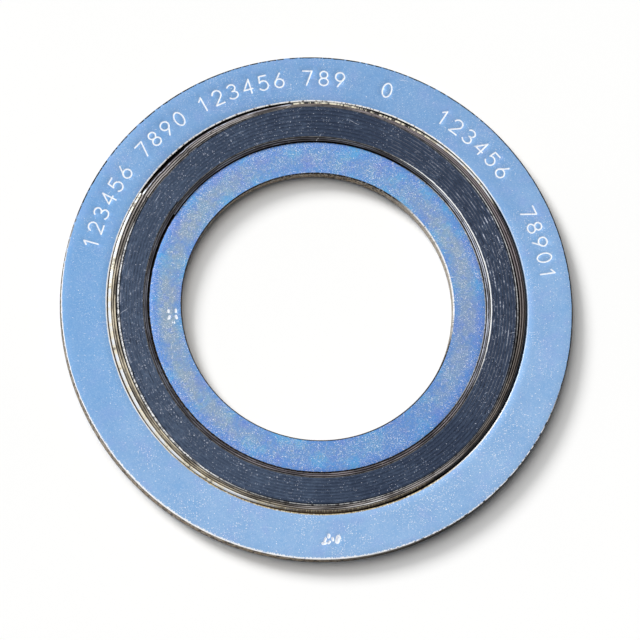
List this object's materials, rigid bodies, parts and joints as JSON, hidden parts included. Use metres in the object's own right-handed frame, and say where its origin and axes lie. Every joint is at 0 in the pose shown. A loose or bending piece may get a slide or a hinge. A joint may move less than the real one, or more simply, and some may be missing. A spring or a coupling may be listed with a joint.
{
  "type": "spiral wound gasket",
  "caption": "Spiral wound gasket: steel strip and graphite filler wound between an outer centring ring and an inner ring, to seal a raised-face pipe flange joint",
  "frame": {"origin": "centre of the bore, on the gasket's mid-plane", "axes": "+Z is the bore axis and points up through the face that carries the marking; +X points right and +Y away, as the marking is read"},
  "size_m": [0.1049, 0.1048, 0.0044],
  "materials": {
    "centring_plate": "blue passivated zinc plate, satin",
    "inner_plate": "blue passivated zinc plate, finely grained",
    "hoop_steel": "bright rolled strip edges",
    "graphite": "pressed flexible graphite, slate grey"
  },
  "bodies": {
    "root": {"centring_ring": "centring_plate", "inner_ring": "inner_plate", "hoop_strip": "hoop_steel", "graphite_filler": "graphite"}
  },
  "joints": []
}
